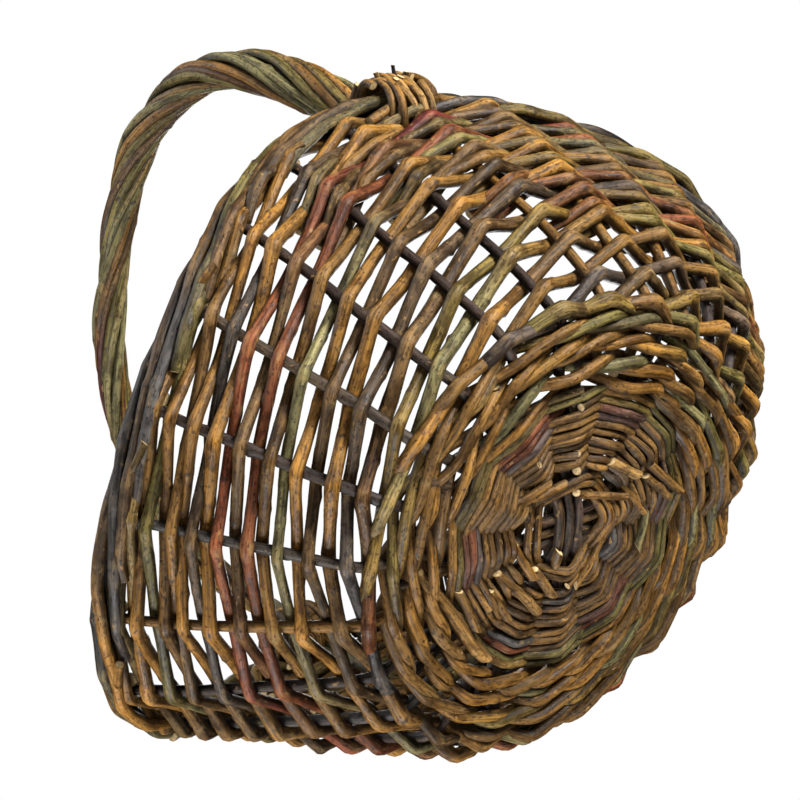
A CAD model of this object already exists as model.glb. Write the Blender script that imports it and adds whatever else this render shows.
"""Looks of the woven willow market basket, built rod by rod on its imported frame.

Metres, +Z up, base centre over the origin, the handle's feet at +X and -X.
Every rod is a mesh tube swept along a bent centre line, with nodes, buds,
taper and cut ends, and a procedural bark that follows the straightened rod.
"""
import math

import bpy
import numpy as np
from mathutils import Matrix, Vector


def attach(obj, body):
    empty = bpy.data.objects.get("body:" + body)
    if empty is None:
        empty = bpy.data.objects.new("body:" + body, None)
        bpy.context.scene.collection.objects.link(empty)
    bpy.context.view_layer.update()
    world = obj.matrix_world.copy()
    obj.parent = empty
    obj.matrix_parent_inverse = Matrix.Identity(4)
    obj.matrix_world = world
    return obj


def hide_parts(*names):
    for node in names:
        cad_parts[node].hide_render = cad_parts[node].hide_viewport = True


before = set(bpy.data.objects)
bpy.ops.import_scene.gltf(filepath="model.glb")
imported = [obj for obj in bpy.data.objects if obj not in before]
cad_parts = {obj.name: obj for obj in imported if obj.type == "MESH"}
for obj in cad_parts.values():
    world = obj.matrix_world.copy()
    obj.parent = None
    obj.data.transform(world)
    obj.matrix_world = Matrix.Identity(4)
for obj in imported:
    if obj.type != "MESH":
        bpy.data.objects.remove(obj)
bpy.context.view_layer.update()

# ---- the basket's shape, as in the CAD part ----------------------------------
BASE_R = 0.135
RIM_R, RIM_OVAL = 1.47, 0.209
WALL_H, SADDLE, BULGE = 1.057, 0.33, 0.048
UPSETT_R = 0.014
STAKES, SPOKES = 24, 12
STAKE_GAP = 360 / STAKES        # degrees from stake to stake
STAKE_R = 0.0029
STICK_R, STICK_END = 0.0033, 0.86
SLATH_HALF, FAN_R = 0.0195, 0.040
CROSSINGS = 18                  # stakes that a siding rod passes
SIDING_HIGH, SIDING_CLOSER = 0.925, 0.25
BORDER_R = 0.0080
HANDLE_FOOT_R, HANDLE_TURN, HANDLE_LEG = 0.0063, math.radians(6.9), 0.060
HANDLE_RISE, HANDLE_LEAN, HANDLE_SKEW = 1.261, -0.261, 0.166
HANDLE_POWER, HANDLE_SHOULDER = 0.58, 0.87
UPSETT_COIL_R = 0.0040
BASE_Z = 2 * UPSETT_COIL_R * math.cos(math.pi / 6) + STICK_R + 0.0003
FLOOR_Z = -0.0015               # just under the lowest rods

# ---- how rods are meshed ------------------------------------------------------
SIDES = 12
FINE_STEP = 0.0012              # spacing of a centre line's points while its corners are rounded
STEP = 0.0022                   # length of one ring of faces
RNG = np.random.default_rng(20)
INSIDE = np.array((0.0, 0.0, 0.15))     # a place in the basket's hollow

# radii of the rods that are shown
SPLIT_STICK_R = (STICK_R * 0.86, STICK_R * 0.80)
BASE_ROD_R, UPSETT_ROD_R = 0.0023, 0.0032
STAKE_ENDS_R = (0.0032, 0.0028)
SIDING_R, SIDING_TAPER, SIDING_TIP_R = 0.0036, 0.0003, 0.0033
PACKING_R, PACKING_ENDS_R = 0.0031, (0.0032, 0.0028)
SIDING_CLEAR_R = 0.0030         # of the stake that the siding bends round
BORDER_LEAST_R, BORDER_MOST_R = 0.0034, 0.0042
BORDER_RING = 0.0060            # from the rim's centre line to the border rods
BOW_ENDS_R, ROPE_ENDS_R = (0.0058, 0.0042), (0.0032, 0.0020)
ROPE_LAY = 0.215                # length in which a roped rod goes once round the bow
LASHING_ENDS_R = (0.0027, 0.0021)
LASHING_OUT, LASHING_UP = 0.0190, 0.0138    # half the width and height of a turn of lashing

# ---- bark colours (linear) ------------------------------------------------------
GOLD = (0.125, 0.057, 0.008)
OCHRE = (0.089, 0.044, 0.009)
BROWN = (0.052, 0.028, 0.009)
OLIVE = (0.064, 0.050, 0.012)
SAGE = (0.086, 0.074, 0.029)
RED = (0.078, 0.022, 0.006)
WINE = (0.052, 0.008, 0.005)
SLATE = (0.032, 0.028, 0.025)
DARK = (0.022, 0.013, 0.009)
TAN = (0.190, 0.104, 0.030)

# what covers the bark's tint
RUBBED, DRY = (0.16, 0.095, 0.032, 1.0), (0.15, 0.105, 0.042, 1.0)
PEELED, SCAR = (0.19, 0.105, 0.032, 1.0), (0.014, 0.009, 0.006, 1.0)
# what darkens it, as factors
GRIME, STAIN, PORE = (0.34, 0.30, 0.28, 1.0), (0.40, 0.36, 0.34, 1.0), (0.20, 0.15, 0.13, 1.0)
# wood of the cut ends
CUT_DARK, CUT_PALE, PITH = (0.20, 0.13, 0.050, 1.0), (0.32, 0.23, 0.11, 1.0), (0.10, 0.06, 0.03, 1.0)

# ---- which rods lie where ---------------------------------------------------------
# butt ends that show under the base: from and to (radius in mm, angle), radius in mm, colour
MM = 0.001
BUTTS = (((47, -56), (32, -18), 2.6, TAN), ((19, 20), (38, 76), 2.2, OCHRE),
         ((42, 40), (49, 66), 3.0, TAN), ((57, 75), (70, 91), 2.4, OLIVE),
         ((39, 65), (51, 95), 2.4, GOLD), ((61, 69), (78, 90), 2.5, OCHRE),
         ((29, -165), (13, -143), 2.7, TAN), ((38, -88), (33, -130), 2.6, GOLD),
         ((52, -60), (40, -30), 2.3, GOLD), ((29, -128), (38, -164), 2.8, TAN),
         ((50, -104), (48, -155), 2.8, TAN), ((58, 96), (57, 118), 2.6, SAGE),
         ((57, -112), (58, -134), 2.2, OCHRE), ((30, 120), (36, 170), 2.2, GOLD),
         ((77, -100), (75, -122), 3.0, TAN), ((112, 50), (121, 72), 3.3, GOLD),
         ((109, -84), (82, -138), 3.8, TAN))
UPSETT_START = 0.0855           # where the waling begins, out from the centre
SIDING_OVAL = 0.06              # siding rods are thicker towards the handle's feet by this share
SIDING_COLOURS = (OLIVE, OLIVE, BROWN, OLIVE, GOLD, BROWN, GOLD, SLATE, OCHRE, WINE, RED, RED,
                  GOLD, SAGE, OCHRE, BROWN, GOLD, SLATE, RED, OLIVE, SAGE, GOLD, OCHRE, SLATE)
PACKED_STAKES = ((-2, 6), (9, 13))      # first and last stake of each packed side
BORDER_COLOURS = (SLATE, DARK, BROWN, OLIVE, OCHRE, SLATE, BROWN, OLIVE, SLATE, OCHRE, BROWN, OLIVE,
                  SLATE, OCHRE, OLIVE, BROWN, GOLD, OLIVE, OCHRE, OLIVE, GOLD, SLATE, DARK, SLATE)
BORDER_BUTTS = (-138, -112, -78, -52, -34, -26, 120, 150, 205)      # degrees round the rim
ROPE_COLOURS = ((OLIVE, OCHRE), (GOLD, OCHRE), (SAGE, OLIVE), (OCHRE, SAGE), (OLIVE, OLIVE), (WINE, BROWN),
                (OCHRE, GOLD), (SAGE, OLIVE), (GOLD, SAGE), (OLIVE, OLIVE), (OCHRE, BROWN))
# loose ends of the near binding: along the rim, upward, outward, radius and colour
TIPS = ((0.003, -0.002, 0.0236, 0.0029, TAN), (0.003, 0.006, 0.0272, 0.0013, DARK),
        (-0.007, 0.008, 0.0232, 0.0018, GOLD), (0.009, 0.001, 0.0246, 0.0020, OCHRE),
        (-0.003, -0.005, 0.0240, 0.0020, TAN))


# ---- surfaces the rods follow ---------------------------------------------------
# bumps of the hand-made rim: where (degrees), how wide (degrees), how far out
BUMPS = ((242, 21, 0.0100), (305, 17, -0.0070), (37, 16, -0.0065), (90, 30, -0.0095))


def uneven(t, a):
    """How far the wall stands off its even shape: the base is drawn in, the rim has bumps."""
    base = -(0.0063 + 0.0095 * math.cos(a - 1.95)) * (1 - t) ** 3
    rim = 0.0
    for at, wide, size in BUMPS:
        gap = (math.degrees(a) - at + 180) % 360 - 180
        rim += size * math.exp(-(gap / wide) ** 2)
    return base + rim * t * t


def wall_point(t, a, out=0.0):
    """Point of the wall at share t of its height and angle a, and so far outside it."""
    rim = RIM_R - RIM_OVAL * math.cos(2 * a)
    height = WALL_H + SADDLE * math.cos(2 * a)
    r = BASE_R * (1 + (rim - 1) * t + BULGE * 4 * t * (1 - t)) + uneven(t, a)
    z = BASE_Z + BASE_R * height * t
    if out:
        rim_slope = BASE_R * ((rim - 1) + BULGE * 4 * (1 - 2 * t))
        length = math.hypot(rim_slope, BASE_R * height)
        r += out * BASE_R * height / length
        z -= out * rim_slope / length
    return np.array((r * math.cos(a), r * math.sin(a), z))


def upsett_bend(a):
    """Turn angle at the upsett, radius where it starts and share of the wall it uses."""
    low, high = wall_point(0.0, a), wall_point(0.16, a)
    run = math.hypot(*high[:2]) - math.hypot(*low[:2])
    rise = high[2] - low[2]
    lean = math.atan2(rise, run)
    tangent = UPSETT_R * math.tan(lean / 2)
    return lean, BASE_R + uneven(0.0, a) - tangent, 0.16 * tangent / math.hypot(run, rise)


def skin(u, a, out=0.0):
    """Point at length u along the basket's outline, from the base centre out and up."""
    lean, start, join = upsett_bend(a)
    if u <= start:
        r, z = u, BASE_Z - out
    elif u <= start + UPSETT_R * lean:
        turn = (u - start) / UPSETT_R
        r = start + (UPSETT_R + out) * math.sin(turn)
        z = BASE_Z + UPSETT_R - (UPSETT_R + out) * math.cos(turn)
    else:
        height = math.hypot(RIM_R - RIM_OVAL * math.cos(2 * a) - 1, WALL_H + SADDLE * math.cos(2 * a))
        return wall_point(join + (u - start - UPSETT_R * lean) / (BASE_R * height), a, out)
    return np.array((r * math.cos(a), r * math.sin(a), z))


def stake_angle(i):
    """Angle of stake i, in radians; a fraction lies between two stakes."""
    return math.radians(STAKE_GAP / 2 + STAKE_GAP * i)


def base_place(radius, degrees, depth):
    """A place so far under the middle of the base's sticks."""
    a = math.radians(degrees)
    return np.array((radius * math.cos(a), radius * math.sin(a), BASE_Z - depth))


def weave_offset(clear, span):
    """How far beside a post a rod's bend lies, to clear it on a slant between posts span apart."""
    return clear / math.sqrt(1 - min(0.8, (2 * clear / span) ** 2))


# ---- rods -------------------------------------------------------------------------
def resample(points, step):
    """Evenly spaced points along a path of straight pieces."""
    seg = np.linalg.norm(np.diff(points, axis=0), axis=1)
    s = np.concatenate([[0.0], np.cumsum(seg)])
    at = np.linspace(0.0, s[-1], max(4, int(round(s[-1] / step)) + 1))
    return np.stack([np.interp(at, s, points[:, k]) for k in range(points.shape[1])], 1)


def soften(points, step, reach):
    """Rounds the corners of an evenly spaced path over about the length reach."""
    k = max(1, int(3 * reach / step))
    k = min(k, len(points) - 1)
    kernel = np.exp(-0.5 * (np.arange(-k, k + 1) * step / reach) ** 2)
    kernel /= kernel.sum()
    head = 2 * points[0] - points[k:0:-1]
    tail = 2 * points[-1] - points[-2:-k - 2:-1]
    padded = np.concatenate([head, points, tail])
    return np.stack([np.convolve(padded[:, j], kernel, "valid") for j in range(points.shape[1])], 1)


def wander(s, wave, size):
    """Smooth random values along s: one new value each wave length, joined by a soft curve."""
    count = int(s[-1] / wave) + 4
    values = RNG.normal(0.0, size, count)
    x = s / wave + RNG.uniform(0, 1)
    i = np.minimum(x.astype(int), count - 2)
    f = x - i
    f = f * f * (3 - 2 * f)
    return values[i] * (1 - f) + values[i + 1] * f


def frames(path):
    """Tangents and two side directions that turn as little as possible."""
    tangents = np.gradient(path, axis=0)
    tangents /= np.linalg.norm(tangents, axis=1, keepdims=True)
    side = np.cross(tangents[0], (0.31, 0.52, 0.79))
    sides = np.empty_like(path)
    for i, tangent in enumerate(tangents):
        side = side - tangent * side.dot(tangent)
        side /= math.sqrt(side.dot(side))
        sides[i] = side
    return tangents, sides, np.cross(tangents, sides)


def knees(points, path):
    """How near each place of a path is to a sharp bend of its control points, 0 to 1."""
    least_bend, full_bend, length = 0.15, 0.5, 0.0080
    near = np.zeros(len(path))
    for before, at, after in zip(points, points[1:], points[2:]):
        a, b = at - before, after - at
        bend = math.acos(max(-1.0, min(1.0, a.dot(b) / math.sqrt(a.dot(a) * b.dot(b)))))
        if bend > least_bend:
            gap = np.linalg.norm(path - at, axis=1)
            near = np.maximum(near, min(1.0, bend / full_bend) * np.exp(-(gap / length) ** 2))
    return near


def grime_between(path, ring, core_line):
    """Dark where a rod faces its neighbours, light where it faces out or in."""
    if core_line is None:
        away = path - INSIDE
    else:
        gaps = np.linalg.norm(path[:, None] - core_line[None], axis=2)
        away = path - core_line[gaps.argmin(1)]
    away /= np.linalg.norm(away, axis=1, keepdims=True) + 1e-6
    facing = np.abs((ring * away[:, None]).sum(2)) if core_line is None else (ring * away[:, None]).sum(2)
    share = np.clip((facing - 0.10) / 0.70, 0, 1)
    return 0.34 + 0.74 * share * share * (3 - 2 * share)


def crooked(path, s, crook):
    """The path with slow sideways wandering, which fades out towards its ends."""
    fade = np.minimum(1, np.minimum(s, s[-1] - s) / 0.01)
    return path + np.stack([wander(s, 0.036, crook) for _ in range(3)], 1) * fade[:, None]


def add_buds(shape, s, theta, buds):
    """Swells the rod's radius at each bud; returns how much of a scar each place has."""
    scars = np.zeros(shape.shape)
    at, turn = RNG.uniform(0.008, 0.03), RNG.uniform(0, 6.28)
    while buds and at < s[-1] - 0.004:
        near = np.exp(-((s - at) / 0.0026) ** 2)
        face = np.exp(-((np.angle(np.exp(1j * (theta - turn)))) / 0.55) ** 2)
        size = buds * RNG.uniform(0.4, 1.3)
        shape += (near[:, None] * (0.00016 + 0.00085 * face[None, :])) * size
        scar = np.exp(-((s - at) / 0.0016) ** 2)
        scars = np.maximum(scars, scar[:, None] * (0.25 + 0.75 * face) * min(1, size))
        at += RNG.uniform(0.016, 0.045)
        turn += 2.4 + RNG.normal(0, 0.4)
    return scars


def rod_tint(s, theta, offset, colour, other, light):
    """Wanders between two colours along the rod; light is how bright each place is."""
    share = np.clip(0.5 + wander(s, 0.09, 0.45), 0, 1)[:, None, None]
    shade = (1 + wander(s, 0.035, 0.13))[:, None, None] * (1 + 0.12 * np.cos(theta + offset))[None, :, None]
    mixed = np.array(colour) * (1 - share) + np.array(other) * share
    return mixed * shade * light[..., None] * RNG.uniform(0.88, 1.12)


def rod(points, ends_r, colour, other, reach=0.0040, crook=0.0006, buds=1.0, slant=0.25,
        swell=0.0, oval=0.0, core_line=None):
    """One willow rod along points: a dict of vertex and face arrays.

    reach rounds its corners, crook bends it, buds scales its nodes, slant tilts its cut ends,
    swell thickens it at sharp bends, oval thickens it towards the handle's feet, and core_line
    is the middle of the bundle that it lies in.
    """
    points = np.asarray(points, float)
    r0, r1 = ends_r
    path = soften(resample(points, FINE_STEP), FINE_STEP, reach)
    path = resample(path, STEP)
    s = np.arange(len(path)) * STEP
    knee = knees(points, path) if swell else np.zeros(len(path))
    path = crooked(path, s, crook)
    tangents, u, v = frames(path)
    theta = np.linspace(0, 2 * math.pi, SIDES, endpoint=False)
    radius = (r0 + (r1 - r0) * s / s[-1]) * (1 + wander(s, 0.020, 0.035)) * (1 + swell * knee)
    radius *= 1 + oval * np.cos(2 * np.arctan2(path[:, 1], path[:, 0]))
    shape = radius[:, None] * (1 + 0.03 * np.cos(2 * theta + RNG.uniform(0, 6))[None, :])
    scars = add_buds(shape, s, theta, buds)
    c, d = np.cos(theta), np.sin(theta)
    ring = u[:, None] * c[None, :, None] + v[:, None] * d[None, :, None]
    verts = path[:, None] + ring * shape[..., None]
    lean = c * slant * RNG.uniform(0.4, 1.3)
    verts[0] += tangents[0] * (lean * radius[0])[:, None]
    verts[-1] += tangents[-1] * (lean * radius[-1])[:, None]
    offset = RNG.uniform(0, 40)
    coord = np.stack([c[None] * radius[:, None], d[None] * radius[:, None],
                      np.repeat((s + offset)[:, None], SIDES, 1)], -1)
    light = (1 + 0.25 * knee)[:, None] * grime_between(path, ring, core_line)
    tint = rod_tint(s, theta, offset, colour, other, light)
    part = {"v": verts.reshape(-1, 3), "q": tube_faces(len(path)), "tri": [], "rod": coord.reshape(-1, 3),
            "tint": tint.reshape(-1, 3), "bud": scars.ravel(), "core": np.ones(scars.size),
            "knee": np.repeat(knee, SIDES)}
    cap(part, verts[0], -tangents[0], coord[0], tint[0], at_end=False)
    cap(part, verts[-1], tangents[-1], coord[-1], tint[-1], at_end=True)
    return part


def tube_faces(rings):
    i, j = np.meshgrid(np.arange(rings - 1), np.arange(SIDES), indexing="ij")
    k = (j + 1) % SIDES
    quads = np.stack([i * SIDES + j, i * SIDES + k, (i + 1) * SIDES + k, (i + 1) * SIDES + j], -1)
    return quads.reshape(-1, 4)


def cap(part, ring, outward, coord, tint, at_end):
    """Closes one end of a rod with a cut face; core falls from 1 at its edge to 0 at its pith."""
    centre = ring.mean(0)
    start = len(part["v"])
    rings = [ring, centre + (ring - centre) * 0.5 + outward * 0.0001]
    part["v"] = np.concatenate([part["v"], *rings, [centre + outward * 0.0001]])
    part["rod"] = np.concatenate([part["rod"], coord, coord * (0.5, 0.5, 1), [coord.mean(0)]])
    part["tint"] = np.concatenate([part["tint"], np.repeat(tint.mean(0)[None], 2 * SIDES + 1, 0)])
    part["core"] = np.concatenate([part["core"], np.ones(SIDES), np.full(SIDES, 0.5), [0.0]])
    for key in ("bud", "knee"):
        part[key] = np.concatenate([part[key], np.zeros(2 * SIDES + 1)])
    for j in range(SIDES):
        k = (j + 1) % SIDES
        a, b, c, d = start + j, start + k, start + SIDES + k, start + SIDES + j
        m = start + 2 * SIDES
        part["tri"] += [(a, b, c), (a, c, d), (d, c, m)] if at_end else [(b, a, c), (c, a, d), (c, d, m)]


def piece(name, node, slot, *parts):
    """One named object of one or more rods, in place of a CAD node and in its slot's bark."""
    sizes = np.cumsum([0] + [len(p["v"]) for p in parts])
    verts = np.concatenate([p["v"] for p in parts])
    quads = np.concatenate([p["q"] + k for p, k in zip(parts, sizes)])
    tris = np.concatenate([np.array(p["tri"]) + k for p, k in zip(parts, sizes)])
    mesh = bpy.data.meshes.new(name)
    loops = np.concatenate([quads.ravel(), tris.ravel()]).astype(np.int32)
    counts = np.concatenate([np.full(len(quads), 4), np.full(len(tris), 3)])
    mesh.vertices.add(len(verts))
    mesh.vertices.foreach_set("co", verts.astype(np.float32).ravel())
    mesh.loops.add(len(loops))
    mesh.loops.foreach_set("vertex_index", loops)
    mesh.polygons.add(len(counts))
    starts = np.concatenate([[0], np.cumsum(counts)[:-1]]).astype(np.int32)
    mesh.polygons.foreach_set("loop_start", starts)
    mesh.materials.append(BARKS[slot])
    mesh.materials.append(CUT_WOOD)
    mesh.polygons.foreach_set("material_index", (counts == 3).astype(np.int32))
    mesh.update(calc_edges=True)
    mesh.polygons.foreach_set("use_smooth", counts == 4)
    for key, kind in (("rod", "FLOAT_VECTOR"), ("bud", "FLOAT"), ("core", "FLOAT"), ("knee", "FLOAT")):
        data = np.concatenate([p[key] for p in parts]).astype(np.float32).ravel()
        field = "vector" if key == "rod" else "value"
        mesh.attributes.new(key, kind, "POINT").data.foreach_set(field, data)
    tint = np.concatenate([p["tint"] for p in parts])
    tint = np.concatenate([tint, np.ones((len(tint), 1))], 1).astype(np.float32)
    mesh.attributes.new("tint", "FLOAT_COLOR", "POINT").data.foreach_set("color", tint.ravel())
    obj = bpy.data.objects.new(name, mesh)
    bpy.context.scene.collection.objects.link(obj)
    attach(obj, "root")
    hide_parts(node)


# ---- materials ------------------------------------------------------------------------
class Tree:
    """Short way to add and join shader nodes."""

    def __init__(self, name):
        self.mat = bpy.data.materials.new(name)
        self.mat.use_nodes = True
        self.tree = self.mat.node_tree
        self.bsdf = self.tree.nodes["Principled BSDF"]

    def node(self, kind, settings=None, **inputs):
        made = self.tree.nodes.new(kind)
        for key, value in (settings or {}).items():
            setattr(made, key, value)
        for key, value in inputs.items():
            self.put(made.inputs[key.replace("_", " ")], value)
        return made

    def put(self, socket, value):
        if isinstance(value, bpy.types.NodeSocket):
            self.tree.links.new(value, socket)
        else:
            socket.default_value = value

    def attribute(self, name, output="Vector"):
        return self.node("ShaderNodeAttribute", {"attribute_name": name}).outputs[output]

    def noise(self, vector, scale, detail=2.0, rough=0.5):
        scaled = self.node("ShaderNodeVectorMath", {"operation": "MULTIPLY"})
        self.put(scaled.inputs[0], vector)
        self.put(scaled.inputs[1], scale)
        made = self.node("ShaderNodeTexNoise", Vector=scaled.outputs[0], Scale=1.0, Detail=detail,
                         Roughness=rough)
        return made.outputs["Fac"]

    def span(self, value, low, high, to_low=0.0, to_high=1.0):
        made = self.node("ShaderNodeMapRange", {"interpolation_type": "SMOOTHSTEP"})
        for key, item in zip(("Value", "From Min", "From Max", "To Min", "To Max"),
                             (value, low, high, to_low, to_high)):
            self.put(made.inputs[key], item)
        return made.outputs["Result"]

    def math(self, operation, a, b):
        made = self.node("ShaderNodeMath", {"operation": operation})
        self.put(made.inputs[0], a)
        self.put(made.inputs[1], b)
        return made.outputs[0]

    def mix(self, kind, factor, a, b):
        made = self.node("ShaderNodeMix", {"data_type": "RGBA", "blend_type": kind})
        self.put(made.inputs[0], factor)
        self.put(made.inputs[6], a)
        self.put(made.inputs[7], b)
        return made.outputs[2]


def bark_material(name, roughness, grime, streak):
    """Willow bark in its rod's own tint: streaks along the rod, blotches, pores, bud scars."""
    t = Tree(name)
    at = t.attribute("rod")
    tint = t.attribute("tint", "Color")
    bud = t.attribute("bud", "Fac")
    knee = t.attribute("knee", "Fac")
    creases = t.noise(at, (150.0, 150.0, 1300.0), 1.0)
    lines = t.noise(at, (800.0, 800.0, 30.0), 4.0, 0.65)
    fine = t.noise(at, (2400.0, 2400.0, 260.0), 2.0)
    cloud = t.noise(at, (130.0, 130.0, 55.0), 4.0, 0.62)
    patch = t.noise(at, (330.0, 330.0, 170.0), 3.0)
    pores = t.noise(at, (900.0, 900.0, 480.0), 1.0)
    shade = t.span(lines, 0.34, 0.66, 1.0 - 0.70 * streak, 1.0 + 0.45 * streak)
    streaks = t.node("ShaderNodeCombineColor", Red=shade, Green=shade, Blue=shade).outputs[0]
    colour = t.mix("MULTIPLY", 1.0, tint, streaks)
    rubbed = t.math("MULTIPLY", t.span(patch, 0.46, 0.62), t.math("MULTIPLY", knee, 0.30))
    worn = t.mix("MIX", rubbed, colour, RUBBED)
    pale = t.mix("MIX", t.span(cloud, 0.60, 0.72, 0.0, 0.45), worn, DRY)
    dark = t.mix("MULTIPLY", t.span(cloud, 0.50, 0.38, 0.0, grime), pale, GRIME)
    stained = t.mix("MULTIPLY", t.span(patch, 0.44, 0.34, 0.0, 0.65), dark, STAIN)
    spotted = t.mix("MULTIPLY", t.span(pores, 0.58, 0.68, 0.0, 0.8), stained, PORE)
    peeled = t.mix("MIX", t.span(patch, 0.66, 0.72, 0.0, 0.6), spotted, PEELED)
    scarred = t.mix("MIX", t.span(bud, 0.20, 0.8, 0.0, 0.85), peeled, SCAR)
    t.put(t.bsdf.inputs["Base Color"], scarred)
    t.put(t.bsdf.inputs["Roughness"], t.span(cloud, 0.3, 0.75, roughness - 0.08, roughness + 0.2))
    t.put(t.bsdf.inputs["Specular IOR Level"], 0.22)
    height = t.math("ADD", t.math("MULTIPLY", lines, 0.8), t.math("MULTIPLY", fine, 0.25))
    height = t.math("ADD", height, t.math("MULTIPLY", patch, 0.6))
    height = t.math("SUBTRACT", height, t.math("MULTIPLY", t.span(pores, 0.6, 0.7), 0.25))
    height = t.math("ADD", height, t.math("MULTIPLY", t.math("MULTIPLY", creases, knee), 0.5))
    bump = t.node("ShaderNodeBump", Strength=0.9, Distance=0.0006, Height=height)
    t.put(t.bsdf.inputs["Normal"], bump.outputs[0])
    return t.mat


def cut_material():
    """Pale wood of a cut end, with a darker pith and rim."""
    t = Tree("cut_wood")
    core = t.attribute("core", "Fac")
    at = t.attribute("rod")
    grain = t.noise(at, (900.0, 900.0, 900.0), 3.0)
    wood = t.mix("MIX", t.span(grain, 0.35, 0.65), CUT_DARK, CUT_PALE)
    ringed = t.mix("MIX", t.span(core, 0.80, 0.98, 0.0, 0.85), wood, t.attribute("tint", "Color"))
    pith = t.mix("MIX", t.span(core, 0.22, 0.10, 0.0, 0.8), ringed, PITH)
    t.put(t.bsdf.inputs["Base Color"], pith)
    t.put(t.bsdf.inputs["Roughness"], 0.8)
    bump = t.node("ShaderNodeBump", Strength=0.6, Distance=0.0003, Height=grain)
    t.put(t.bsdf.inputs["Normal"], bump.outputs[0])
    return t.mat


CUT_WOOD = cut_material()
BARKS = {name: bark_material(name, roughness, grime, streak) for name, roughness, grime, streak in (
    ("slath_bark", 0.58, 0.8, 1.0),
    ("base_weave_bark", 0.52, 0.8, 0.8),
    ("upsett_bark", 0.48, 0.7, 0.8),
    ("stake_bark", 0.55, 0.6, 0.6),
    ("siding_bark", 0.48, 0.8, 0.8),
    ("border_bark", 0.50, 0.7, 0.8),
    ("handle_bark", 0.50, 0.6, 0.8),
    ("binding_bark", 0.55, 0.5, 0.9))}


def pick(*weighted):
    """A colour from (colour, weight) pairs."""
    weights = np.array([w for _, w in weighted], float)
    return weighted[RNG.choice(len(weighted), p=weights / weights.sum())][0]


# ---- base -----------------------------------------------------------------------------
def stick_path(offset, spread):
    half = [(SLATH_HALF, offset, 0.0)]
    for r in (FAN_R, 0.5 * (FAN_R + BASE_R * STICK_END), BASE_R * STICK_END):
        half.append((r * math.cos(spread), r * math.sin(spread), 0.0))
    return np.array([(-x, y, z) for x, y, z in reversed(half)] + half)


def split_stick(path, offset, side):
    """Half of a cross stick, above or below the long sticks that it closes round."""
    ends = path + (0, 0, BASE_Z + side * 0.0008)
    eye = [(x, offset, BASE_Z + side * lift) for x, lift in
           ((-0.0165, 0.0018), (-0.0115, 0.0050), (0.0115, 0.0050), (0.0165, 0.0018))]
    return rod(np.concatenate([ends[:4], eye, ends[4:]]), SPLIT_STICK_R, DARK, BROWN, buds=0.5, crook=0.0003)


def build_sticks():
    for i in range(3):
        offset = (i - 1) * (2 * STICK_R + 0.0002)
        path = stick_path(offset, (i - 1) * math.radians(360 / SPOKES))
        along_y = np.stack([-path[:, 1], path[:, 0], path[:, 2] + BASE_Z], 1)
        piece(f"slath_stick_long_{i + 1:02d}", f"base_stick_long_{i + 1:02d}", "slath_bark",
              rod(along_y, (STICK_R, STICK_R * 0.92), DARK, BROWN, buds=0.6))
        piece(f"slath_stick_cross_{i + 1:02d}", f"base_stick_cross_{i + 1:02d}", "slath_bark",
              *(split_stick(path, offset, side) for side in (-1, 1)))


def base_colours():
    first = pick((BROWN, 5), (RED, 1), (DARK, 3), (OLIVE, 2), (OCHRE, 4), (GOLD, 2), (SLATE, 1))
    second = pick((BROWN, 3), (OCHRE, 3), (OLIVE, 2), (RED, 1))
    return first, second


def pair_path(phase, r_from, r_to, turns, posts, first, post_r):
    """One of a pair of rods that twist round each other between posts."""
    points = []
    steps = int(turns * posts * 2)
    for j in range(steps + 1):
        a = first + math.pi * j / posts
        r = r_from + (r_to - r_from) * j / steps
        wave = math.pi * (j / 2 + phase)
        span = 2 * r * math.sin(math.pi / posts)
        clear = post_r + BASE_ROD_R
        z = math.cos(wave) * min(weave_offset(clear, span), clear + 0.0022)
        r += 0.32 * BASE_ROD_R * math.sin(wave) + RNG.normal(0, 0.0004)
        points.append((r * math.cos(a), r * math.sin(a), BASE_Z - z))
    return points


def build_base_weave():
    """Rounds of pairing bind the sticks in fours, then go on over each spoke."""
    for phase in (0, 1):
        path = pair_path(phase, 0.0228, 0.0345, 2.5, 4, 0.0, STICK_R * 1.5)
        piece(f"slath_round_{phase + 1:02d}", "base_weave", "base_weave_bark",
              rod(path, (BASE_ROD_R, 0.0021), OCHRE if phase else BROWN, GOLD, reach=0.0035))
    pitch = 2 * BASE_ROD_R + 0.0001
    radius, turn, count = 0.0365, 0.0, 0
    while radius < 0.0835:
        turns = RNG.uniform(1.6, 2.4)
        r_end = radius + pitch * turns
        for phase in (0, 1):
            first, second = base_colours()
            start = math.floor(turn * SPOKES) * 2 * math.pi / SPOKES
            path = pair_path(phase, radius, r_end, turns, SPOKES, start, STICK_R)
            count += 1
            thick = RNG.uniform(0.88, 1.16)
            piece(f"base_round_{count:02d}", "base_weave", "base_weave_bark",
                  rod(path, (0.0024 * thick, 0.0021 * thick), first, second, reach=0.0026, buds=0.8))
        radius, turn = r_end, turn + turns


def upsett_point(i, strand, stakes, at_end):
    """Where a waling rod passes stake i: outside two stakes, then inside the third."""
    width = 2 * UPSETT_ROD_R
    phase = (i + strand) % 3
    a = stake_angle(i)
    end_u = BASE_R + uneven(0.0, a) - 0.004
    u = UPSETT_START + (end_u - UPSETT_START) * i / stakes + RNG.normal(0, 0.0005)
    if phase == 0 or at_end:
        return skin(u + 0.1 * width, a, -(STAKE_R + UPSETT_ROD_R * 0.95))
    if phase == 1:
        return skin(u - 0.42 * width, a, STAKE_R + UPSETT_ROD_R * 0.9)
    return skin(u + 0.52 * width, a, STAKE_R + UPSETT_ROD_R * 1.3)


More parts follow.
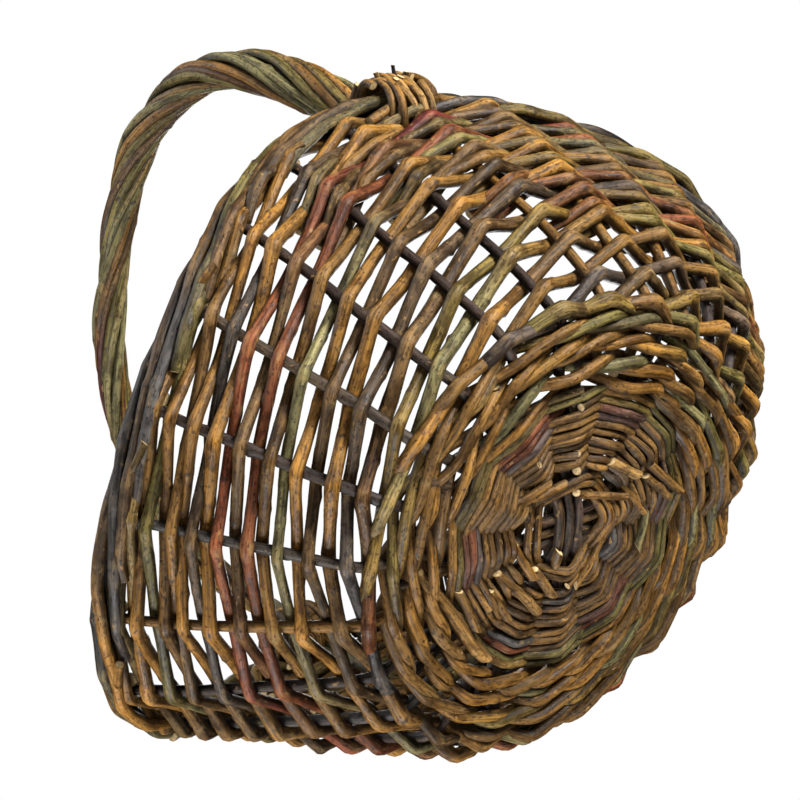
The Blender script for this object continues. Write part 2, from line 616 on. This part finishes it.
def build_upsett():
    """Three-rod waling round the edge of the base and its turn-up."""
    turns = (BASE_R - 0.010 - UPSETT_START) / (1.72 * 2 * UPSETT_ROD_R)
    stakes = int(turns * STAKES)
    count = 0
    for strand in range(3):
        first = strand
        while first < stakes - 2:
            last = min(stakes, first + int(RNG.integers(14, 24)))
            points = [upsett_point(i, strand, stakes, i in (first, last)) for i in range(first, last + 1)]
            colour = pick((GOLD, 5), (OLIVE, 2), (OCHRE, 4), (SAGE, 2), (BROWN, 1))
            other = pick((OCHRE, 3), (OLIVE, 2), (BROWN, 2), (GOLD, 3))
            count += 1
            size = RNG.uniform(0.90, 1.14) * UPSETT_ROD_R
            piece(f"upsett_rod_{count:02d}", "upsett_wale", "upsett_bark",
                  rod(points, (1.05 * size, 0.88 * size), colour, other, reach=0.0045, crook=0.0008))
            first = last


def build_butts():
    for k, ((r0, a0), (r1, a1), size, colour) in enumerate(BUTTS):
        first = base_place(r0 * MM, a0, 0.0035)
        last = base_place(r1 * MM, a1, BASE_Z - size * MM - 0.0008)
        middle = (first + last) / 2 - (0, 0, 0.0003)
        node, slot = ("upsett_wale", "upsett_bark") if r0 > 80 else ("base_weave", "base_weave_bark")
        piece(f"base_butt_{k + 1:02d}", node, slot,
              rod([first, middle, last], (size * MM * 0.96, size * MM), colour, OCHRE, reach=0.004,
                  crook=0.0006, buds=1.2, slant=0.9))


# ---- stakes and siding ------------------------------------------------------------------
def stake_points(a):
    lean, start, join = upsett_bend(a)
    top = 1.0 - BORDER_R / (BASE_R * (WALL_H + SADDLE * math.cos(2 * a)))
    bend = [skin(start + UPSETT_R * lean * k / 4, a) for k in range(5)]
    return [skin(BASE_R * 0.70, a)] + bend + [wall_point(join + (top - join) * k / 8, a) for k in range(1, 9)]


def build_stakes():
    golden = (0, 1, 2, 17)
    for i in range(STAKES):
        a = stake_angle(i)
        colour = GOLD if i in golden else pick((DARK, 5), (SLATE, 3), (BROWN, 1))
        other = OCHRE if i in golden else pick((BROWN, 2), (SLATE, 3), (DARK, 3))
        piece(f"stake_rod_{i + 1:02d}", f"stake_{i + 1:02d}", "stake_bark",
              rod(stake_points(a), STAKE_ENDS_R, colour, other, reach=0.0030))


def siding_height(j):
    """Share of the wall's height at which a siding rod passes its stake j."""
    share = j / (CROSSINGS - 1)
    return SIDING_HIGH * (share + SIDING_CLOSER * share * (1 - share))


def bend_round(radius, t, a):
    """How far in front of or behind a stake a rod's centre line passes it."""
    span = 2 * math.hypot(*wall_point(t, a)[:2]) * math.sin(math.pi / STAKES)
    return weave_offset(radius + SIDING_CLEAR_R, span)


def siding_points(index, size):
    """In and out past one stake after another, always rising, with both ends tucked inside."""
    points = [wall_point(0.0, stake_angle(index - 1.7), -0.006)]
    for j in range(-1, CROSSINGS):
        t = siding_height(max(j, 0)) + RNG.normal(0, 0.005)
        a = stake_angle(index + j) + RNG.normal(0, 0.004)
        radius = size * (SIDING_R - SIDING_TAPER * j / (CROSSINGS - 1))
        radius *= 1 + SIDING_OVAL * math.cos(2 * a)
        offset = bend_round(radius, t, a) * RNG.uniform(1.0, 1.10)
        if j < 0:
            points.append(skin(BASE_R + uneven(0.0, a) - 0.001, a, 0.8 * offset))
        else:
            points.append(wall_point(t, a, offset if j % 2 else -offset))
    points.append(wall_point(0.965, stake_angle(index + CROSSINGS - 0.3), -0.0075))
    return points


def build_siding():
    """French randing: one rod starts beside every stake."""
    for index, colour in enumerate(SIDING_COLOURS):
        size = RNG.uniform(0.92, 1.14)
        points = siding_points(index, size)
        other = pick((OCHRE, 3), (BROWN, 3), (OLIVE, 2), (SAGE, 1), (GOLD, 2))
        if colour in (RED, WINE):
            other = pick((BROWN, 1), (RED, 2))
        piece(f"siding_{index + 1:02d}", f"siding_rod_{index + 1:02d}", "siding_bark",
              rod(points, (SIDING_R * size, SIDING_TIP_R * size), colour, other, reach=0.0017, crook=0.0005,
                  swell=0.11, oval=SIDING_OVAL))


def packing_points(index, first, last):
    """A short rod that fills the gaps of the row above siding rod index, from stake to stake."""
    steps = [k for k in range(first, last + 1) if max(5, 11 - 2 * (k - first)) <= k - index <= 16]
    if len(steps) < 3:
        return None
    radius = PACKING_R * RNG.uniform(0.88, 1.10)
    points = []
    for k in steps:
        j, a = k - index, stake_angle(k)
        offset = bend_round(radius, 0.6, a) * RNG.uniform(1.0, 1.12)
        points.append(wall_point(siding_height(j) + RNG.normal(0, 0.004), a, -offset if j % 2 else offset))
        points.append(wall_point(siding_height(j + 0.5) + 0.022, a + math.pi / STAKES, 0.0))
    begin, end = steps[0] - 0.6, steps[-1] + 0.6
    return [wall_point(siding_height(begin - index), stake_angle(begin), -0.009)] + points[:-1] \
        + [wall_point(siding_height(end - index), stake_angle(end), -0.010)]


def build_packing():
    """The tall sides under the handle's feet have more rows than the low ones."""
    for side, (first, last) in enumerate(PACKED_STAKES):
        for k in range(18):
            index = first - 15 + k
            points = packing_points(index, first, last)
            if points is None:
                continue
            colour = pick((OCHRE, 3), (OLIVE, 3), (BROWN, 3), (RED, 2), (SLATE, 2), (GOLD, 1), (SAGE, 1))
            other = pick((OCHRE, 3), (BROWN, 3), (OLIVE, 2))
            piece(f"packing_{side + 1}_{k + 1:02d}", f"siding_rod_{index % STAKES + 1:02d}", "siding_bark",
                  rod(points, PACKING_ENDS_R, colour, other, reach=0.0017, crook=0.0004, swell=0.11))


# ---- border -------------------------------------------------------------------------------
def rim_centre(a):
    return wall_point(0.985, a, -0.0015)


def border_point(a, turn, ring):
    """Beside the rim's centre line: turn 0 is outward, 90 degrees is up."""
    return rim_centre(a) + np.array((math.cos(a), math.sin(a), 0)) * ring * math.cos(turn) \
        + np.array((0, 0, 1)) * ring * math.sin(turn)


def border_points(start, stakes):
    """A stake's end goes inside, over the rim and down outside as it runs past some stakes."""
    points = [wall_point(0.93, start, -0.002)]
    for q in (0.0, 0.10, 0.20, 0.30, 0.38, 0.56, 0.75, 0.90, 1.0):
        a = start - math.radians(STAKE_GAP * stakes * q)
        ring = BORDER_RING + 0.0012 * math.sin(math.pi * q)
        points.append(border_point(a, math.radians(200 - 245 * q), ring))
    for extra, t, out in ((0.35, 0.950, 0.0085), (0.9, 0.925, 0.0075), (1.3, 0.915, 0.002)):
        points.append(wall_point(t, start - math.radians(STAKE_GAP * (stakes + extra)), out))
    return points


def build_border():
    rim_line = np.array([rim_centre(math.radians(a)) for a in range(0, 360, 2)])
    for i, colour in enumerate(BORDER_COLOURS):
        stakes = RNG.uniform(3.2, 4.0)
        size = RNG.uniform(BORDER_LEAST_R, BORDER_MOST_R)
        other = pick((BROWN, 3), (SLATE, 2), (OLIVE, 3), (OCHRE, 2))
        piece(f"border_rod_{i + 1:02d}", "border", "border_bark",
              rod(border_points(stake_angle(i + 0.1), stakes), (size, size * 0.82), colour, other,
                  reach=0.0040, crook=0.0007, swell=0.05, core_line=rim_line))
    for k, degrees in enumerate(BORDER_BUTTS):
        first, last = math.radians(degrees), math.radians(degrees + RNG.uniform(6, 9))
        points = [wall_point(0.965, first, 0.002), wall_point(0.94, (first + last) / 2, 0.0085),
                  wall_point(0.915, last, 0.0100)]
        colour = pick((GOLD, 3), (OCHRE, 2), (OLIVE, 2))
        piece(f"border_butt_{k + 1:02d}", "border", "border_bark",
              rod(points, (0.0021, 0.0024), colour, OCHRE, reach=0.004))


# ---- handle -----------------------------------------------------------------------------------
def bow_foot(t):
    point = wall_point(t, HANDLE_TURN)
    outward = np.array((point[0], point[1], 0.0)) / math.hypot(point[0], point[1])
    return point - outward * (BORDER_R + HANDLE_FOOT_R + 0.0006)


def bow_points():
    """Leg, bow and leg of the handle, from its thick side to its thin one."""
    foot = bow_foot(1.0)
    leg = bow_foot(0.75) - foot
    leg *= HANDLE_LEG / np.linalg.norm(leg)
    steps = 26
    half = []
    for i in range(steps + 1):
        angle = 0.5 * math.pi * (i / steps) ** 1.5
        half.append((max(0.0, math.cos(angle)) ** HANDLE_SHOULDER, math.sin(angle) ** HANDLE_POWER))
    both = half + [(-c, s) for c, s in reversed(half[:-1])]
    top = np.array((HANDLE_SKEW, HANDLE_LEAN, HANDLE_RISE)) * BASE_R
    bow = [foot * (0, 0, 1) + foot * (1, 1, 0) * c + top * s for c, s in both]
    ends = [foot + leg, foot + leg * 0.5]
    return np.array(ends + bow + [p * (-1, -1, 1) for p in reversed(ends)])


def bow_path():
    """The bow's centre line, its point spacing and the way along it, a little rounder at its thick side."""
    spacing = 0.004
    path = soften(resample(bow_points(), spacing), spacing, 0.008)
    s = np.arange(len(path)) * spacing
    spread = path - (0.0, 0.0, path[0, 2])
    spread /= np.linalg.norm(spread, axis=1, keepdims=True)
    rounder = np.clip((s - 0.05) / 0.06, 0, 1) * np.clip((0.66 * s[-1] - s) / 0.15, 0, 1)
    return path + spread * (0.0026 * rounder)[:, None], s


def rope_ring(s):
    """Distance of the roped rods from the bow's centre line: it tapers, and has one loose swelling."""
    total = s[-1]
    near = np.clip((np.minimum(s, total - s) - 0.03) / 0.10, 0, 1)
    ring = (0.0052 + 0.0046 * near) * (1.0 - 0.38 * np.clip(s / (0.70 * total), 0, 1))
    return ring * (0.97 + 0.30 * np.exp(-((s - 0.16 * total) / (0.09 * total)) ** 2))


def build_handle():
    """Rods roped round a bow rod: thick where they start, thin at the far foot."""
    path, s = bow_path()
    tangents = frames(path)[0]
    across = np.cross(tangents, (0.0, 1.0, 0.0))
    across /= np.linalg.norm(across, axis=1, keepdims=True)
    other_way = np.cross(tangents, across)
    ring = rope_ring(s)
    piece("bow_rod", "handle_rope", "handle_bark", rod(path, BOW_ENDS_R, BROWN, OLIVE, reach=0.006))
    for k, (colour, other) in enumerate(ROPE_COLOURS):
        begin = int(RNG.integers(3, 9))
        end = len(path) - int(RNG.integers(3, 9))
        turn = 2 * math.pi * (k / len(ROPE_COLOURS) + s / ROPE_LAY) + wander(s, 0.10, 0.14)
        wide = ring * (1 + wander(s, 0.12, 0.09))
        spot = path + across * (np.cos(turn) * wide)[:, None] + other_way * (np.sin(turn) * wide)[:, None]
        piece(f"handle_rod_{k + 1:02d}", "handle_rope", "handle_bark",
              rod(spot[begin:end], ROPE_ENDS_R, colour, other, reach=0.004, crook=0.0006, core_line=path))


# ---- bindings ---------------------------------------------------------------------------------
def lashing_points(k, place):
    """A turn and a bit of lashing; place turns distances out, up and along the rim into a point."""
    lean = math.radians(RNG.uniform(-16, 16))
    shift = (k - 3.5) * 0.0041 + RNG.normal(0, 0.0010)
    reach = RNG.uniform(1.1, 1.75) if k < 6 else 1.0
    lower, rim = wall_point(0.9, HANDLE_TURN), wall_point(1.0, HANDLE_TURN)
    flare = (math.hypot(*rim[:2]) - math.hypot(*lower[:2])) / (rim - lower)[2]
    points = []
    for i in range(22):
        q = 2 * math.pi * i / 17 + 0.9 * k
        c, d = math.cos(q), math.sin(q)
        rounding = (abs(c) ** 3 + abs(d) ** 3) ** (-1 / 3)
        x = c * rounding * (LASHING_OUT + 0.0016 * (k % 3))
        z = d * rounding * (LASHING_UP + 0.0016 * (k % 3))
        if z < 0:
            z *= reach
            x += flare * z * 0.8
        points.append(place(x, z, shift + math.tan(lean) * z + 0.005 * i / 17))
    return np.array(points)


def build_bindings():
    """Lashing rods wound round the border and the handle's foot, with loose tips at the near one."""
    out = np.array((math.cos(HANDLE_TURN), math.sin(HANDLE_TURN), 0.0))
    beside = np.array((-out[1], out[0], 0.0))
    up = np.array((0.0, 0.0, 1.0))
    centre = wall_point(1.0, HANDLE_TURN) - out * (HANDLE_FOOT_R + 0.0005)

    def place(x, z, along):
        return centre + out * x + up * z + beside * along

    for node, side in (("binding_right", 1), ("binding_left", -1)):
        for k in range(8):
            points = lashing_points(k, place) * (side, side, 1)
            colour = pick((GOLD, 5), (TAN, 4), (OCHRE, 2))
            piece(f"{node}_rod_{k + 1:02d}", node, "binding_bark",
                  rod(points, LASHING_ENDS_R, colour, GOLD if k % 3 else OCHRE, reach=0.0025, crook=0.0009,
                      buds=1.2))
    for k, (along, rise, far, radius, colour) in enumerate(TIPS):
        start, end = place(0.006, -0.002, along * 0.5), place(far, rise, along)
        middle = (start + end) / 2 + beside * 0.0012
        piece(f"binding_tip_{k + 1:02d}", "binding_right", "binding_bark",
              rod([start, middle, end], (radius, radius * 0.8), colour, BROWN, reach=0.002, crook=0.0004))


# ---- stage ---------------------------------------------------------------------------------------
def build_floor():
    """Pale floor, seen from above only."""
    bpy.ops.mesh.primitive_plane_add(size=8.0, location=(0, 0, FLOOR_Z))
    floor = bpy.context.object
    floor.name = "studio_floor"
    t = Tree("studio_floor")
    t.put(t.bsdf.inputs["Base Color"], (0.80, 0.80, 0.80, 1.0))
    t.put(t.bsdf.inputs["Roughness"], 0.9)
    join = t.node("ShaderNodeMixShader")
    t.put(join.inputs[0], t.node("ShaderNodeNewGeometry").outputs["Backfacing"])
    t.put(join.inputs[1], t.bsdf.outputs[0])
    t.put(join.inputs[2], t.node("ShaderNodeBsdfTransparent").outputs[0])
    t.put(t.tree.nodes["Material Output"].inputs["Surface"], join.outputs[0])
    floor.data.materials.append(t.mat)
    floor.visible_diffuse = False
    floor.visible_glossy = False
    floor.visible_shadow = False


def build_surroundings():
    world = bpy.data.worlds.new("studio")
    world.use_nodes = True
    world.node_tree.nodes["Background"].inputs["Color"].default_value = (1.0, 1.0, 1.0, 1.0)
    world.node_tree.nodes["Background"].inputs["Strength"].default_value = 1.0
    bpy.context.scene.world = world
    bpy.context.scene.view_settings.view_transform = "Standard"
    world.cycles_visibility.glossy = False


def soft_light(name, direction, distance, size, power, shine=True):
    """A round lamp aimed at the basket; shine is whether bark shows its reflection."""
    lamp = bpy.data.lights.new(name, "AREA")
    lamp.shape = "DISK"
    lamp.size = size
    lamp.energy = power
    obj = bpy.data.objects.new(name, lamp)
    aim = Vector(direction).normalized()
    obj.location = Vector(INSIDE) + aim * distance
    obj.rotation_mode = "QUATERNION"
    obj.rotation_quaternion = (-aim).to_track_quat("-Z", "Y")
    obj.visible_glossy = shine
    bpy.context.scene.collection.objects.link(obj)


def build_camera():
    """Looks up at the base from below one long side, rolled as the basket lies."""
    data = bpy.data.cameras.new("camera")
    data.lens = 182.1
    data.clip_start, data.clip_end = 0.1, 50.0
    camera = bpy.data.objects.new("camera", data)
    bpy.context.scene.collection.objects.link(camera)
    elevation, azimuth, roll = math.radians(-38.78), math.radians(39.11), math.radians(57.87)
    back = Vector((math.sin(azimuth) * math.cos(elevation), -math.cos(azimuth) * math.cos(elevation),
                   math.sin(elevation)))
    right = Vector((math.cos(azimuth), math.sin(azimuth), 0.0))
    up = back.cross(right)
    image_right = right * math.cos(roll) - up * math.sin(roll)
    image_up = right * math.sin(roll) + up * math.cos(roll)
    place = Vector((0, 0, BASE_Z)) + back * (16 * BASE_R)
    turn = Matrix((image_right, image_up, back)).transposed()
    # it aims a little beside the base's centre, which takes in the whole basket
    swing = Matrix.Rotation(math.radians(2.302), 3, "Y") @ Matrix.Rotation(math.radians(1.767), 3, "X")
    camera.matrix_world = Matrix.Translation(place) @ (turn @ swing).to_4x4()
    bpy.context.scene.camera = camera
    return back, image_up, image_right


def build_lights(back, image_up, image_right):
    key_way = back * 0.66 + image_up * 1.0 + image_right * 0.78
    soft_light("key", key_way, 2.0, 0.9, 92.0)
    soft_light("key_soft", key_way, 2.0, 0.9, 78.0, shine=False)
    soft_light("low", back * 0.75 - image_up * 1.6 - image_right * 0.35, 2.2, 1.2, 98.0)
    soft_light("fill", (0.4, -0.7, 1.0), 2.2, 1.6, 52.0)
    soft_light("behind", (-0.7, 0.8, 0.9), 2.2, 1.6, 60.0)


build_sticks()
build_base_weave()
build_upsett()
build_butts()
build_stakes()
build_siding()
build_packing()
build_border()
build_handle()
build_bindings()
build_floor()
build_surroundings()
build_lights(*build_camera())
